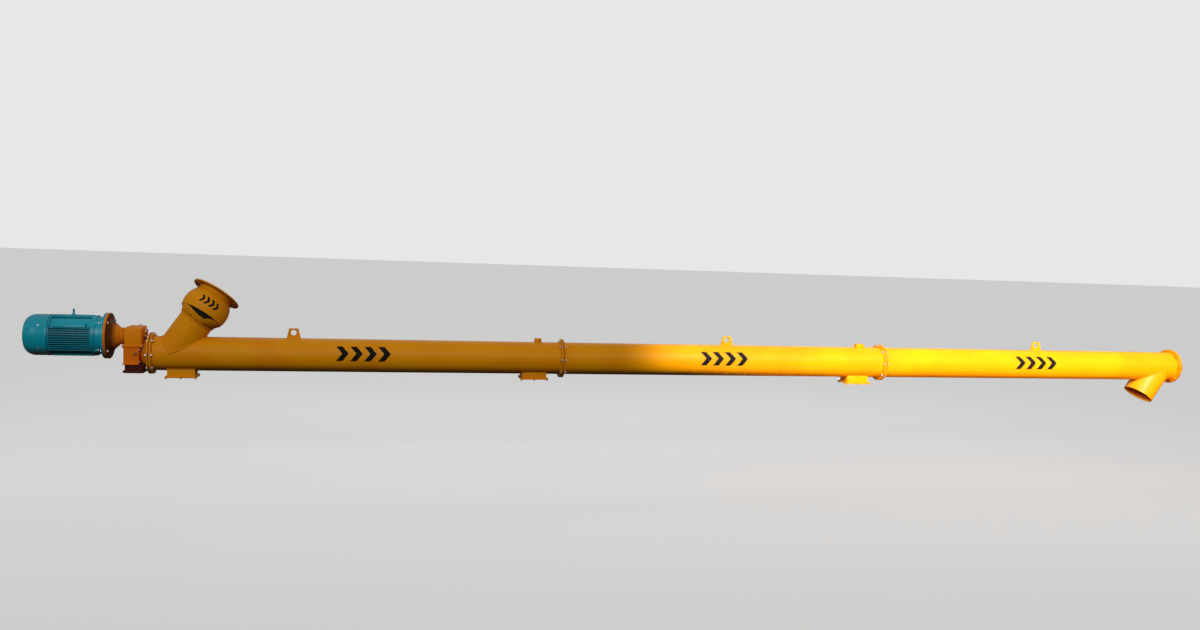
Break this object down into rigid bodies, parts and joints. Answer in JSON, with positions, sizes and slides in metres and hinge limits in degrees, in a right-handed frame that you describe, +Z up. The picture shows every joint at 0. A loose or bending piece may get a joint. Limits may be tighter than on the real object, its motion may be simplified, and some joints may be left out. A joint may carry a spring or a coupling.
{
  "type": "tubular screw conveyor",
  "caption": "Long tube screw conveyor for powder, with a geared motor, a swivelling ball inlet, an open outlet spout, hatches and lifting lugs.",
  "frame": {"origin": "front flat face of the middle lifting lug, on the plate just under its eye; the tube's axis runs 0.1478 m below and 0.006 m behind it", "axes": "+X along the tube from the motor to the outlet, +Z up, -Y towards the viewer of the picture"},
  "size_m": [10.4446, 0.4207, 0.9634],
  "materials": {
    "yellow_enamel": "semi-gloss machinery enamel, dusty, chipped to rust at the joints",
    "orange_gearbox_enamel": "semi-gloss enamel on cast iron",
    "brown_cast_iron": "thin orange-brown enamel on rough cast iron, rusty",
    "teal_motor_enamel": "glossy teal enamel on cast iron",
    "zinc_plated_steel": "bright zinc plate",
    "brass": "dull brass",
    "worn_steel": "bare worn steel with powder dust",
    "black_rubber": "matt black rubber"
  },
  "bodies": {
    "conveyor": {"ball_cup": "yellow_enamel", "ball_liner": "black_rubber", "bell_adapter": "brown_cast_iron", "casing_tube_1": "yellow_enamel", "casing_tube_2": "yellow_enamel", "casing_tube_3": "yellow_enamel", "drive_flange": "orange_gearbox_enamel", "end_bearing": "orange_gearbox_enamel", "end_cover": "yellow_enamel", "gearbox_base": "brown_cast_iron", "gearbox_breather": "zinc_plated_steel", "gearbox_lower_housing": "orange_gearbox_enamel", "gearbox_upper_housing": "orange_gearbox_enamel", "grease_block_1": "yellow_enamel", "grease_block_2": "yellow_enamel", "hanger_bearing_1": "worn_steel", "hanger_bearing_2": "worn_steel", "hatch_cover_1": "yellow_enamel", "hatch_cover_2": "yellow_enamel", "hatch_cover_3": "yellow_enamel", "hatch_frame_1": "yellow_enamel", "hatch_frame_2": "yellow_enamel", "hatch_frame_3": "yellow_enamel", "inlet_pipe": "yellow_enamel", "lifting_lug_1": "yellow_enamel", "lifting_lug_2": "yellow_enamel", "lifting_lug_3": "yellow_enamel", "motor_end_shield": "teal_motor_enamel", "motor_eye_bolt": "teal_motor_enamel", "motor_fan_cowl": "teal_motor_enamel", "motor_frame": "teal_motor_enamel", "oil_level_plug": "brass", "outlet_spout": "yellow_enamel", "output_cover": "brown_cast_iron", "screw_length_1": "worn_steel", "screw_length_2": "worn_steel", "screw_length_3": "worn_steel", "tube_1_inlet_side_flange": "yellow_enamel", "tube_1_outlet_side_flange": "yellow_enamel", "tube_2_inlet_side_flange": "yellow_enamel", "tube_2_outlet_side_flange": "yellow_enamel", "tube_3_inlet_side_flange": "yellow_enamel", "tube_3_outlet_side_flange": "yellow_enamel"},
    "inlet_ball": {"ball_cap": "yellow_enamel", "inlet_flange": "yellow_enamel"}
  },
  "joints": [
    {"name": "inlet_swivel", "type": "hinge", "parent": "conveyor", "child": "inlet_ball", "pos_m": [-4.4096, 0.006, 0.2149], "axis": [0.8261, 0, -0.5635], "range_deg": [0, 36]}
  ]
}
